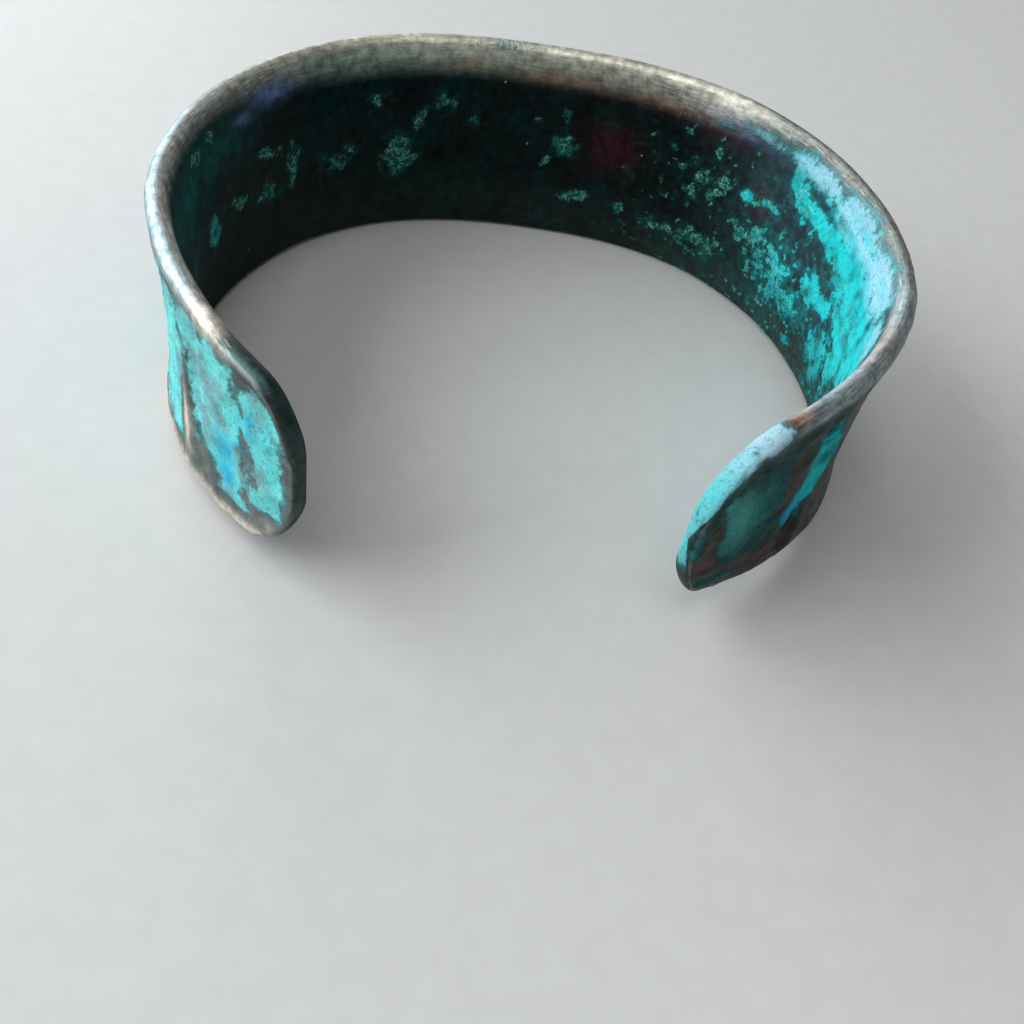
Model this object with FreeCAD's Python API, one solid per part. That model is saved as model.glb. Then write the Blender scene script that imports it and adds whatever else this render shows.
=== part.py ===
"""Open cuff bracelet: one strip of copper, hammered hollow along its length and bent into an oval.

Millimetres. +Z runs along the wrist, the gap faces -Y, and the bracelet stands on its lower rim at Z = 0.
The origin is under the middle of the bracelet's box.
"""
import FreeCAD, Part
import math
import os

# Driving dimensions of the strip
STRIP_LENGTH = 150.0
BAND_WIDTH = 20.5
THICKNESS = 1.9

# Radius of the bend at the middle of the back, where the two halves meet
BACK_RADIUS = 42.0

# How far the upper rim stands out from the waist of the band where the bend is tightest, the lower rim's
# share of that, and how late the rims turn outwards
FLARE = 1.7
LOWER_FLARE_SHARE = 0.8
FLARE_POWER = 2.4

# The ends taper over this length, and keep this share of the flare at the tip
END_LENGTH = 25.0
TIP_FLARE_SHARE = 0.04
TAPER_POWER = 1.5
NOSE_POWER = 2.0

# How close to each tip its first section lies, and the spacing of sections round the nose and along the band
TIP_CAP = 0.02
NOSE_SECTIONS = 12
SECTION_STEP = 2.0

# Steps of the sum that turns the bend into a path, and steps along each face and round each rim of a section
PATH_STEP = 0.25
FACE_STEPS = 12
RIM_STEPS = 8

# The skin is a cubic surface, cut into this many stretches from tip to tip
DEGREE = 3
STRETCHES = 4

HALF_LENGTH = STRIP_LENGTH / 2
HALF_WIDTH = BAND_WIDTH / 2
RIM_RADIUS = THICKNESS / 2


class Half:
    """One half of the strip, bent by hand a little unlike the other.

    side: -1 on the left, 1 on the right
    radii: radius of the bend at even steps, from the middle of the back to the tip
    tip_width, tip_drop: width of the strip at the tip, and how far its middle drops there
    top_corner, bottom_corner: how far from the tip its two corners start to round
    """

    def __init__(self, side, radii, tip_width, tip_drop, top_corner, bottom_corner):
        self.side = side
        self.radii = (BACK_RADIUS,) + radii
        self.tip_width = tip_width
        self.tip_drop = tip_drop
        self.top_corner = top_corner
        self.bottom_corner = bottom_corner


LEFT = Half(-1, (25.0, 28.3, 30.3, 38.0), tip_width=16.0, tip_drop=-0.5, top_corner=4.3, bottom_corner=6.3)
RIGHT = Half(1, (22.5, 28.8, 27.0, 43.0), tip_width=15.1, tip_drop=0.9, top_corner=6.9, bottom_corner=2.5)
TIGHTEST_RADIUS = min(LEFT.radii + RIGHT.radii)


def smooth(share):
    """Ease from 0 to 1 with no slope at either limit."""
    return share * share * (3 - 2 * share)


def bend_at(half, distance):
    """Curvature of the band's plan at a distance from the middle of the back."""
    last_step = len(half.radii) - 1
    place = min(distance / HALF_LENGTH, 1.0) * last_step
    step = min(int(place), last_step - 1)
    share = smooth(place - step)
    return (1 - share) / half.radii[step] + share / half.radii[step + 1]


def plan_place(half, distance):
    """Point on the waist's inner face and heading of a half, at a distance from the middle of the back."""
    steps = max(1, math.ceil(distance / PATH_STEP))
    length = distance / steps
    x = 0.0
    y = 0.0
    heading = 0.0
    for step in range(steps):
        turn = bend_at(half, (step + 0.5) * length) * length
        x += math.cos(heading + turn / 2) * length
        y -= math.sin(heading + turn / 2) * length
        heading += turn
    return x, y, heading


def nose(from_tip, corner):
    """Share of the full height that a rounded corner leaves, at a distance from the tip."""
    reach = min(from_tip / corner, 1.0)
    return (1 - (1 - reach) ** NOSE_POWER) ** (1 / NOSE_POWER)


def edge_heights(half, from_tip):
    """Heights of the lower and the upper edge of the strip, at a distance from the tip."""
    taper = (1 - min(from_tip / END_LENGTH, 1.0)) ** TAPER_POWER
    narrowing = (BAND_WIDTH - half.tip_width) / 2 * taper
    middle = HALF_WIDTH - half.tip_drop * taper
    high = middle + (BAND_WIDTH - narrowing - middle) * nose(from_tip, half.top_corner)
    low = middle + (narrowing - middle) * nose(from_tip, half.bottom_corner)
    return low, high


def thickness_at(from_tip):
    """Thickness of the metal, rounded over at the tip like the rims."""
    reach = min(from_tip / RIM_RADIUS, 1.0)
    return THICKNESS * math.sqrt(1 - (1 - reach) ** 2)


def flare_at(half, from_tip):
    """How far the upper rim stands out from the waist: in proportion to the bend, and little at the tip."""
    bend_share = bend_at(half, HALF_LENGTH - from_tip) * TIGHTEST_RADIUS
    end_share = max(1 - from_tip / END_LENGTH, 0.0)
    return FLARE * bend_share * (1 - (1 - TIP_FLARE_SHARE) * end_share)


def section_ring(half, from_tip):
    """Points round the metal across the strip: up the inner face, over the rim and down the outer face."""
    x, y, heading = plan_place(half, HALF_LENGTH - from_tip)
    outward = FreeCAD.Vector(half.side * math.sin(heading), math.cos(heading), 0)
    foot = FreeCAD.Vector(half.side * x, y, 0)
    half_thickness = thickness_at(from_tip) / 2
    upper_flare = flare_at(half, from_tip)
    low, high = edge_heights(half, from_tip)

    def metal_point(share, angle):
        """Point round the middle of the metal: angle 0 is upwards along it, 90 degrees is its outer face."""
        height = low + half_thickness + (high - low - 2 * half_thickness) * share
        reach = (height - HALF_WIDTH) / HALF_WIDTH
        flare = upper_flare if reach > 0 else upper_flare * LOWER_FLARE_SHARE
        lean = flare * abs(reach) ** FLARE_POWER
        slope = math.copysign(flare * FLARE_POWER * abs(reach) ** (FLARE_POWER - 1) / HALF_WIDTH, reach)
        turned = angle + math.atan(slope)
        out = RIM_RADIUS + lean + half_thickness * math.sin(turned)
        return foot + outward * out + FreeCAD.Vector(0, 0, height + half_thickness * math.cos(turned))

    face_shares = [step / FACE_STEPS for step in range(FACE_STEPS + 1)]
    rim_turns = [math.pi * step / RIM_STEPS for step in range(1, RIM_STEPS)]
    inner = [metal_point(share, -math.pi / 2) for share in face_shares]
    upper_rim = [metal_point(1, turn - math.pi / 2) for turn in rim_turns]
    outer = [metal_point(share, math.pi / 2) for share in face_shares[::-1]]
    lower_rim = [metal_point(0, turn + math.pi / 2) for turn in rim_turns]
    return inner + upper_rim + outer + lower_rim


def tip_distances(half):
    """Distances of the sections from the tip: close together round its nose, then even to the back."""
    corner = max(half.top_corner, half.bottom_corner)
    turns = [math.pi / 2 * step / NOSE_SECTIONS for step in range(1, NOSE_SECTIONS)]
    round_part = [corner * (1 - math.cos(turn)) for turn in turns]
    straight = HALF_LENGTH - corner
    straight_steps = math.ceil(straight / SECTION_STEP)
    even_part = [corner + straight * step / straight_steps for step in range(straight_steps)]
    return [TIP_CAP] + round_part + even_part


def skin_over(rings):
    """Smooth tube that follows a net of points: open along the strip and joined up round it."""
    inner_knots = len(rings) - DEGREE - 1
    along_knots = list(range(inner_knots + 2))
    along_repeats = [DEGREE + 1] + [1] * inner_knots + [DEGREE + 1]
    round_knots = list(range(len(rings[0]) + 1))
    round_repeats = [1] * len(round_knots)
    skin = Part.BSplineSurface()
    skin.buildFromPolesMultsKnots(
        rings, along_repeats, round_repeats, along_knots, round_knots, False, True, DEGREE, DEGREE)
    return skin


def skin_patches(skin):
    """The skin cut into stretches along the strip, each one in two patches, one behind the other."""
    first, last, start, stop = skin.bounds()
    length = (last - first) / STRETCHES
    turn = (stop - start) / 2
    stretches = []
    for step in range(STRETCHES):
        place = first + step * length
        patches = [skin.copy(), skin.copy()]
        for number, patch in enumerate(patches):
            patch.segment(place, place + length, start + number * turn, start + (number + 1) * turn)
        stretches.append(patches)
    return stretches


def tip_face(patches, place):
    """Flat face that closes a tip, inside the end edges of its two patches."""
    return Part.Face(Part.Wire([patch.uIso(place).toShape() for patch in patches]))


def make_cuff():
    """The whole bracelet as one closed solid: a skin through its sections, closed at both tips."""
    left = [section_ring(LEFT, distance) for distance in tip_distances(LEFT)]
    back = [section_ring(RIGHT, HALF_LENGTH)]
    right = [section_ring(RIGHT, distance) for distance in tip_distances(RIGHT)]
    skin = skin_over(left + back + right[::-1])
    first, last = skin.bounds()[:2]
    stretches = skin_patches(skin)
    faces = [patch.toShape() for patches in stretches for patch in patches]
    faces.append(tip_face(stretches[0], first))
    faces.append(tip_face(stretches[-1], last))
    shell = Part.makeCompound(faces)
    shell.sewShape()
    return Part.makeSolid(shell)


def stand_on_origin(shape):
    """Move the shape so that the middle of its box's base is at the origin."""
    box = shape.BoundBox
    shape.translate(FreeCAD.Vector(-box.Center.x, -box.Center.y, -box.ZMin))
    return shape


def main():
    """Write the bracelet's STEP file."""
    os.makedirs("parts", exist_ok=True)
    cuff = stand_on_origin(make_cuff())
    cuff.exportStep("parts/cuff.step")
    print("cuff:", cuff.ShapeType, "valid", cuff.isValid(), "volume", round(cuff.Volume), "mm3", cuff.BoundBox)


main()
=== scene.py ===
"""Hammered copper cuff bracelet with a dark patina and verdigris, standing in a plain studio.

Lengths of the strip are in millimetres, as a metalworker gives them; MM turns them into the frame's metres.
Strip coordinates: along runs from -75 at the left tip, past 0 at the middle of the back, to 75 at the
right tip; height is above the surface that the bracelet stands on; face is -1 inside, 1 outside and between
them on a rim. rise() and fall() take the place where a change starts or stops, and the length it takes.
"""
import math
import bpy
import numpy as np
from mathutils import Matrix, Vector, noise


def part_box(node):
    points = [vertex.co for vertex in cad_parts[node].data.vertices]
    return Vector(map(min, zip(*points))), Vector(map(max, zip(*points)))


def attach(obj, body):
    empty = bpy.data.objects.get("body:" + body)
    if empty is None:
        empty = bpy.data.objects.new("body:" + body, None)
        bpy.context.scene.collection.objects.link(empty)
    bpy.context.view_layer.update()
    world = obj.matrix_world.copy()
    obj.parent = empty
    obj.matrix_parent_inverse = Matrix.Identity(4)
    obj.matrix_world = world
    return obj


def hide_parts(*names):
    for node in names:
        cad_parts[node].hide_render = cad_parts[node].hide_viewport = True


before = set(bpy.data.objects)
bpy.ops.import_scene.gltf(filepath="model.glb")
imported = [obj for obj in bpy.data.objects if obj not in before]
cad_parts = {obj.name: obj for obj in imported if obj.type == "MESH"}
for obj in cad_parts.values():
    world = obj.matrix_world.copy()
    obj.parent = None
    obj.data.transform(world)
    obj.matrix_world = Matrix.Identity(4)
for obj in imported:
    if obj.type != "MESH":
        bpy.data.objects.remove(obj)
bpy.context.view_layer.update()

MM = 0.001
CAD_LOW, CAD_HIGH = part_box("cuff")

# The strip, as the CAD part has it
STRIP_LENGTH = 150.0
BAND_WIDTH = (CAD_HIGH[2] - CAD_LOW[2]) / MM
THICKNESS = 1.9
BACK_RADIUS = 42.0
FLARE = 1.7
LOWER_FLARE_SHARE = 0.8
FLARE_POWER = 2.4
END_LENGTH = 25.0
TIP_FLARE_SHARE = 0.04
TAPER_POWER = 1.5
HALF_LENGTH = STRIP_LENGTH / 2
HALF_WIDTH = BAND_WIDTH / 2
RIM_RADIUS = THICKNESS / 2

# Fineness of the sum that turns the bend into a path, and of the detailed mesh
PLAN_STEP = 0.05
TIP_CAP = 0.002
NOSE_ROWS = 26
ROW_STEP = 0.245
FACE_COLUMNS = 58
RIM_COLUMNS = 12

# Depths of the hand-work and of the corrosion crust, the width of a hammer blow, how round its hollow is,
# the shares of its width and depth that the small blows have, and what sets the two faces' blows apart
OUTER_DENT = 0.22
TIP_DENT = 0.34
INNER_DENT = 0.05
DENT_SIZE = 4.4
DENT_ROUNDNESS = 1.6
SMALL_DENT_SIZE = 0.45
SMALL_DENT_DEPTH = 0.3
FACE_SEED_STEP = 7.0
CRUST_HEIGHT = 0.11
WAVE_HEIGHT = 0.07
PIT_DEPTH = 0.14
HOLE_DEPTH = 0.30

# Fold across the outside of each end, with the groove beside it: distances from the tip halfway up, how much
# nearer to the tip both lie at the rims, half-widths, height and depth
CREASE_FROM_TIP = 13.9
GROOVE_FROM_TIP = 12.1
CREASE_BOW = 1.4
CREASE_WIDTH = 0.85
GROOVE_WIDTH = 1.0
CREASE_HEIGHT = 0.16
GROOVE_DEPTH = 0.26

# How far down each face the upper rim is worn bright, and how much further inside the back
WEAR_REACH_INSIDE = 1.8
WEAR_REACH_MORE_AT_BACK = 2.1
WEAR_REACH_OUTSIDE = 1.7

# Metal colours, linear
BLACK_PATINA = (0.010, 0.011, 0.012)
TEAL_FILM = (0.003, 0.032, 0.028)
# Slate and olive: painted reflections inside, of the light from the left and of the floor
SLATE_REFLECTION = (0.022, 0.066, 0.076)
OLIVE_FLOOR_REFLECTION = (0.034, 0.062, 0.050)
GREEN_FILM = (0.002, 0.012, 0.010)
MAGENTA_TINT = (0.075, 0.010, 0.025)
VIOLET_TINT = (0.150, 0.210, 0.450)
# Lavender: painted reflection of the light from the left, on the rims
LAVENDER_REFLECTION = (0.300, 0.400, 0.430)
SAGE_METAL = (0.660, 0.640, 0.520)
DULL_METAL = (0.260, 0.265, 0.235)
CREAM_METAL = (0.620, 0.520, 0.440)
COPPER_METAL = (0.480, 0.240, 0.140)
RED_METAL = (0.160, 0.035, 0.025)
GREY_METAL = (0.210, 0.230, 0.220)
EDGE_METAL = (0.040, 0.068, 0.062)
# Painted highlight along the corner of each tip
BEVEL_HIGHLIGHT = (0.240, 0.260, 0.255)
BROWN_FILM = (0.050, 0.036, 0.026)
WORN_RIDGE = (0.150, 0.082, 0.055)

# Crust colours, linear
# Dark green is the crust painted as in shade, and cyan is the same crust painted as lit
SHADED_GREEN_CRUST = (0.005, 0.080, 0.055)
LIT_CYAN_CRUST = (0.004, 0.540, 0.560)
MINT_CRUST = (0.160, 0.640, 0.620)
BLUE_CRUST = (0.006, 0.360, 0.600)
# Colours of the painted sheen, laid on as a pale crust
PALE_SHEEN = (0.270, 0.560, 0.660)
TEAL_SHEEN = (0.080, 0.450, 0.440)
WHITE_SHEEN = (0.340, 0.500, 0.570)
GREY_CRUST = (0.160, 0.330, 0.350)
SEA_CRUST = (0.060, 0.300, 0.270)
TEAL_CRUST = (0.004, 0.090, 0.085)

# Colours mixed by the materials, linear, with alpha
FILAMENT = (0.260, 0.600, 0.480, 1)
DUST_SPECK = (0.420, 0.460, 0.420, 1)
CRUST_HOLLOW = (0.002, 0.100, 0.105, 1)
# Bright worn scratches, partly a painted highlight
POLISH_AND_HIGHLIGHT = (0.840, 0.800, 0.700, 1)
SCRATCH_DIRT = (0.050, 0.050, 0.040, 1)
STAIN_SHADE = (0.002, 0.012, 0.012, 1)
FLOOR_COLOURS = ((0.50, 0.49, 0.47, 1), (0.52, 0.51, 0.49, 1))
WORLD_COLOUR = (0.90, 0.93, 1.0, 1)

# Fineness of the materials' noises, per metre, and of the scratches, per millimetre
GRAIN_SCALE = 3000.0
CLUMP_SCALE = 1100.0
FILAMENT_SCALE = 1300.0
SPECK_SCALE = 700.0
SPECK_GROUP_SCALE = 260.0
PAPER_SCALE = 400.0
SCRATCHES_ALONG = 0.55
SCRATCHES_ACROSS = 4.5

# Finish of the materials: bump height in millimetres
BUMP_HEIGHT = 0.09
MATT = 0.80
CRUST_SPECULAR = 0.18
FLOOR_ROUGHNESS = 0.55

# Studio: floor in metres from its middle, and the brightness of the surround
FLOOR_REACH = 3.0
WORLD_STRENGTH = 0.28

# Camera, matched to the bracelet's outline in the photo: degrees, millimetres from the bracelet, and how far
# it is moved left and down, square to its view, so that the bracelet is high in the frame
CAMERA_AZIMUTH = -7.13
CAMERA_ELEVATION = 46.13
CAMERA_ROLL = 11.9
CAMERA_DISTANCE = 99.65
CAMERA_AIM = (0.83, 1.72, 9.99)
CAMERA_LEFT = 2.16
CAMERA_DOWN = 20.76
SENSOR_WIDTH = 36.0
LENS = 38.67
CLIP_START = 0.005


class Half:
    """One half of the strip: side, radii of its bend, and shape of its end, as in the CAD part."""

    def __init__(self, side, radii, tip_width, tip_drop, top_corner, bottom_corner):
        self.side = side
        self.radii = np.array((BACK_RADIUS,) + radii)
        self.tip_width = tip_width
        self.tip_drop = tip_drop
        self.top_corner = top_corner
        self.bottom_corner = bottom_corner


LEFT = Half(-1, (25.0, 28.3, 30.3, 38.0), tip_width=16.0, tip_drop=-0.5, top_corner=4.3, bottom_corner=6.3)
RIGHT = Half(1, (22.5, 28.8, 27.0, 43.0), tip_width=15.1, tip_drop=0.9, top_corner=6.9, bottom_corner=2.5)
TIGHTEST_RADIUS = min(LEFT.radii.min(), RIGHT.radii.min())


def smooth(share):
    """Ease from 0 to 1 with no slope at either limit."""
    share = np.clip(share, 0.0, 1.0)
    return share * share * (3 - 2 * share)


def rise(value, start, length):
    """0 up to a start, then up smoothly over a length to 1."""
    return smooth((value - start) / length)


def fall(value, stop, length):
    """1 at first, then down smoothly over a length to 0 at a stop."""
    return smooth((stop - value) / length)


# ---------------------------------------------------------------- shape of the strip

def bend_at(half, distance):
    """Curvature of the plan at distances from the middle of the back."""
    last_step = len(half.radii) - 1
    place = np.minimum(distance / HALF_LENGTH, 1.0) * last_step
    step = np.minimum(place.astype(int), last_step - 1)
    share = smooth(place - step)
    return (1 - share) / half.radii[step] + share / half.radii[step + 1]


def plan_places(half, distance):
    """Points on the waist's inner face and headings of a half, at distances from the middle of the back."""
    stops = np.arange(0, HALF_LENGTH + PLAN_STEP, PLAN_STEP)
    turns = bend_at(half, (stops[:-1] + stops[1:]) / 2) * PLAN_STEP
    headings = np.concatenate([[0], np.cumsum(turns)])
    middles = (headings[:-1] + headings[1:]) / 2
    x = np.concatenate([[0], np.cumsum(np.cos(middles)) * PLAN_STEP])
    y = np.concatenate([[0], -np.cumsum(np.sin(middles)) * PLAN_STEP])
    return [np.interp(distance, stops, values) for values in (x, y, headings)]


def nose(from_tip, corner):
    """Share of the full height that a rounded corner leaves."""
    reach = np.minimum(from_tip / corner, 1.0)
    return np.sqrt(1 - (1 - reach) ** 2)


def half_rows(half):
    """Distances from the tip of the rows of one half: close together round the nose, then even."""
    corner = max(half.top_corner, half.bottom_corner)
    turns = np.linspace(0, math.pi / 2, NOSE_ROWS + 1)[1:-1]
    straight = np.arange(corner, HALF_LENGTH, ROW_STEP)
    return np.concatenate([[TIP_CAP], corner * (1 - np.cos(turns)), straight])


def ring_columns():
    """Share of the height and angle round the metal's middle, for each column of the skin."""
    climb = np.linspace(0, 1, FACE_COLUMNS)
    turns = np.linspace(0, math.pi, RIM_COLUMNS + 2)[1:-1]
    ones = np.ones(RIM_COLUMNS)
    share = np.concatenate([climb, ones, climb[::-1], 0 * ones])
    quarter = np.full(FACE_COLUMNS, math.pi / 2)
    angle = np.concatenate([-quarter, turns - math.pi / 2, quarter, turns + math.pi / 2])
    return share, angle


def half_skin(half, from_tip):
    """Places of one half's skin, with along, face, and distances from the upper and the lower edge."""
    x, y, heading = plan_places(half, HALF_LENGTH - from_tip)
    outward = np.stack([half.side * np.sin(heading), np.cos(heading)], -1)
    reach = np.minimum(from_tip / RIM_RADIUS, 1.0)
    half_thickness = (RIM_RADIUS * np.sqrt(1 - (1 - reach) ** 2))[:, None]
    end_share = np.maximum(1 - from_tip / END_LENGTH, 0.0)
    bend_share = bend_at(half, HALF_LENGTH - from_tip) * TIGHTEST_RADIUS
    upper_flare = (FLARE * bend_share * (1 - (1 - TIP_FLARE_SHARE) * end_share))[:, None]

    taper = end_share ** TAPER_POWER
    narrowing = (BAND_WIDTH - half.tip_width) / 2 * taper
    middle = HALF_WIDTH - half.tip_drop * taper
    high = (middle + (BAND_WIDTH - narrowing - middle) * nose(from_tip, half.top_corner))[:, None]
    low = (middle + (narrowing - middle) * nose(from_tip, half.bottom_corner))[:, None]

    share, angle = ring_columns()
    height = low + half_thickness + (high - low - 2 * half_thickness) * share
    above = (height - HALF_WIDTH) / HALF_WIDTH
    flare = np.where(above > 0, upper_flare, upper_flare * LOWER_FLARE_SHARE)
    lean = flare * np.abs(above) ** FLARE_POWER
    slope = np.sign(above) * flare * FLARE_POWER * np.abs(above) ** (FLARE_POWER - 1) / HALF_WIDTH
    turned = angle + np.arctan(slope)
    out = RIM_RADIUS + lean + half_thickness * np.sin(turned)
    z = height + half_thickness * np.cos(turned)
    east = half.side * x[:, None] + outward[:, :1] * out
    north = y[:, None] + outward[:, 1:] * out
    places = np.stack([east, north, z], -1)
    along = np.broadcast_to(half.side * (HALF_LENGTH - from_tip)[:, None], z.shape)
    return places, along, np.broadcast_to(np.sin(angle), z.shape), high - z, z - low


class Skin:
    """The smooth skin of the whole strip, in rows along it and columns round the metal.

    places: points in millimetres, standing on the origin
    along, height, face: strip coordinates of each point
    below_top, above_bottom: distance from the upper and the lower edge of the strip
    from_edge: distance from the nearer of the two
    from_tip: distance along the strip from the nearer tip
    """

    def __init__(self):
        left = half_skin(LEFT, half_rows(LEFT))
        right = half_skin(RIGHT, np.concatenate([[HALF_LENGTH], half_rows(RIGHT)[::-1]]))
        places, along, face, below_top, above_bottom = [np.concatenate(pair) for pair in zip(left, right)]
        lowest = places.reshape(-1, 3).min(axis=0)
        highest = places.reshape(-1, 3).max(axis=0)
        base = (lowest + highest) / 2 * np.array((1, 1, 0)) + lowest * np.array((0, 0, 1))
        self.places = places - base
        self.along = along
        self.face = face
        self.height = self.places[..., 2]
        self.below_top = below_top
        self.above_bottom = above_bottom
        self.from_edge = np.minimum(below_top, above_bottom)
        self.from_tip = HALF_LENGTH - np.abs(along)

    def normals(self):
        """Outward normals."""
        forward = np.gradient(self.places, axis=0)
        around = np.roll(self.places, -1, axis=1) - np.roll(self.places, 1, axis=1)
        normals = np.cross(forward, around)
        return normals / np.maximum(np.linalg.norm(normals, axis=-1, keepdims=True), 1e-9)

    def facing(self):
        """How far each place looks straight out of the outer face: 1 on it, 0 on an edge, -1 inside."""
        through = self.places[:, FACE_COLUMNS * 3 // 2 + RIM_COLUMNS] - self.places[:, FACE_COLUMNS // 2]
        through[:, 2] = 0
        outward = through / np.linalg.norm(through, axis=-1, keepdims=True)
        return (self.normals() * outward[:, None]).sum(axis=-1)

    def inside(self):
        """1 on the inner face, 0 elsewhere."""
        return rise(-self.face, 0.2, 0.6)

    def outside(self):
        """1 on the outer face, 0 elsewhere."""
        return rise(self.face, 0.2, 0.6)


# ---------------------------------------------------------------- noise and patches in strip coordinates

def noise_field(places, size, octaves, seed):
    """Smooth noise, about -1 to 1, with blotches of about that size in millimetres."""
    flat = places.reshape(-1, 3) / size + seed
    values = [noise.fractal(Vector(place), 1.0, 2.0, octaves) for place in flat.tolist()]
    return np.array(values).reshape(places.shape[:-1])


def dent_field(skin, size, seed):
    """Hollows left by a round hammer: 0 on the ridges between blows and -1 in the middle of each.

    The two faces get their own blows.
    """
    layer = np.sign(skin.face) * FACE_SEED_STEP + seed
    corners = np.stack([skin.along / size, skin.height / size, layer], -1)
    near = np.array([noise.voronoi(Vector(corner))[0][:2] for corner in corners.reshape(-1, 3).tolist()])
    share = near[:, 0] / np.maximum(near[:, 1], 1e-6)
    return (share ** DENT_ROUNDNESS - 1).reshape(skin.along.shape)


def patch(skin, middle, size, tilt):
    """A soft oval spot, 1 in its middle, turned by tilt degrees from the strip's length."""
    turn = math.radians(tilt)
    u = skin.along - middle[0]
    w = skin.height - middle[1]
    lengthwise = (u * math.cos(turn) + w * math.sin(turn)) / size[0]
    across = (w * math.cos(turn) - u * math.sin(turn)) / size[1]
    return np.exp(-(lengthwise ** 2 + across ** 2))


def spots(skin, table):
    """Strongest of a table of spots at each place. Each row: middle, size, tilt, strength."""
    total = np.zeros(skin.along.shape)
    for middle, size, tilt, strength in table:
        total = np.maximum(total, strength * patch(skin, middle, size, tilt))
    return total


# Verdigris inside the cuff: (along, height), (length, width), tilt, strength
INNER_VERDIGRIS = (
    ((-14.9, 8.7), (2.0, 2.4), 0, 0.90),
    ((-13.0, 12.2), (0.8, 2.4), -25, 0.60),
    ((-9.8, 14.4), (1.8, 1.2), 0, 0.60),
    ((-17.4, 14.8), (1.3, 0.9), 0, 0.62),
    ((-7.0, 12.6), (1.3, 1.0), 0, 0.50),
    ((-20.3, 9.9), (1.4, 1.4), 10, 0.58),
    ((-22.5, 8.6), (3.0, 2.0), 20, 0.46),
    ((-27.4, 10.6), (1.2, 2.4), 0, 0.62),
    ((-30.5, 13.0), (2.6, 0.9), -15, 0.56),
    ((-31.0, 8.8), (3.4, 1.5), -10, 0.54),
    ((-35.4, 10.2), (2.0, 1.2), -20, 0.66),
    ((-40.5, 9.6), (1.3, 1.9), 0, 0.95),
    ((-42.0, 17.6), (1.6, 0.9), 0, 0.90),
    ((-39.0, 17.9), (1.4, 0.8), 0, 0.86),
    ((2.5, 10.9), (1.5, 1.3), 20, 0.90),
    ((0.9, 8.9), (0.4, 1.2), -35, 0.70),
    ((4.5, 5.2), (1.9, 0.8), 12, 0.94),
    ((2.1, 14.3), (0.8, 0.9), 0, 0.62),
    ((-0.4, 13.4), (0.7, 0.5), 0, 0.58),
    ((9.8, 5.5), (0.9, 0.9), 0, 0.56),
    ((9.3, 10.2), (0.7, 0.6), 0, 0.60),
    ((14.4, 4.6), (4.0, 1.3), 0, 0.44),
    ((19.2, 5.2), (2.6, 1.6), 0, 0.46),
    ((16.8, 10.5), (2.4, 3.4), 0, 0.42),
    ((20.1, 12.5), (0.6, 0.6), 0, 1.00),
    ((22.9, 12.5), (0.7, 0.5), 0, 1.05),
    ((24.5, 8.6), (3.0, 2.0), 0, 0.40),
    ((25.6, 13.0), (1.6, 0.8), 0, 0.40),
    ((29.0, 8.4), (2.2, 2.4), 0, 0.42),
    ((31.0, 6.0), (5.0, 2.2), 0, 0.40),
    ((27.7, 17.2), (0.7, 1.4), 25, 1.00),
    ((29.4, 15.7), (0.8, 1.7), 50, 1.00),
    ((32.2, 15.6), (1.9, 0.8), 0, 1.00),
    ((35.8, 15.0), (2.2, 1.3), -10, 1.10),
    ((39.6, 14.6), (2.6, 2.4), -15, 1.30),
    ((43.0, 13.8), (3.0, 3.2), -35, 1.35),
    ((46.0, 12.0), (3.2, 4.4), -20, 1.30),
    ((42.0, 16.8), (7.0, 1.3), 0, 1.10),
    ((44.6, 8.6), (2.0, 2.6), -20, 0.78),
    ((35.4, 9.9), (1.4, 1.3), 0, 1.02),
    ((38.2, 9.8), (2.4, 1.0), 0, 0.72),
    ((40.5, 6.0), (2.6, 3.0), 0, 0.58),
    ((46.0, 4.4), (3.0, 2.6), 0, 0.56),
    ((52.0, 12.0), (3.6, 5.0), 0, 1.00),
    ((58.0, 9.0), (8.0, 5.0), 0, 0.62),
    ((70.0, 9.0), (5.0, 5.0), 0, 0.54),
    ((-56.0, 9.0), (7.0, 5.0), 0, 0.58),
    ((-68.0, 9.0), (5.0, 5.0), 0, 0.50),
)

# Verdigris outside, on the two hammered ends
OUTER_VERDIGRIS = (
    ((-66.0, 13.2), (3.6, 4.4), 0, 1.30),
    ((-67.2, 8.4), (2.6, 2.6), 30, 1.20),
    ((-67.4, 5.8), (1.7, 1.5), 0, 1.00),
    ((-71.4, 13.6), (2.0, 3.6), 0, 1.30),
    ((-72.3, 9.8), (1.5, 2.4), 0, 1.15),
    ((-71.8, 7.0), (1.8, 1.2), 0, 1.05),
    ((-69.2, 4.9), (1.5, 0.9), 0, 0.90),
    ((-63.0, 16.2), (2.6, 2.2), 0, 1.10),
    ((-63.6, 9.8), (1.6, 3.6), 10, 1.05),
    ((-57.6, 11.5), (2.6, 6.0), 0, 1.40),
    ((-56.6, 5.6), (2.8, 3.2), 0, 1.10),
    ((-51.0, 9.0), (4.0, 6.0), 0, 0.90),
    ((71.2, 11.6), (1.7, 2.8), -20, 1.00),
    ((71.0, 7.6), (1.7, 2.0), 0, 0.84),
    ((69.0, 11.0), (3.2, 4.6), 0, 0.66),
    ((72.6, 12.6), (0.6, 0.5), 0, 1.10),
    ((74.6, 9.0), (0.5, 2.2), 0, 0.90),
    ((62.0, 11.6), (1.5, 3.0), 0, 1.30),
    ((63.6, 8.2), (1.8, 1.5), -35, 1.30),
    ((70.4, 3.7), (3.0, 0.6), 0, 0.80),
)
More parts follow.
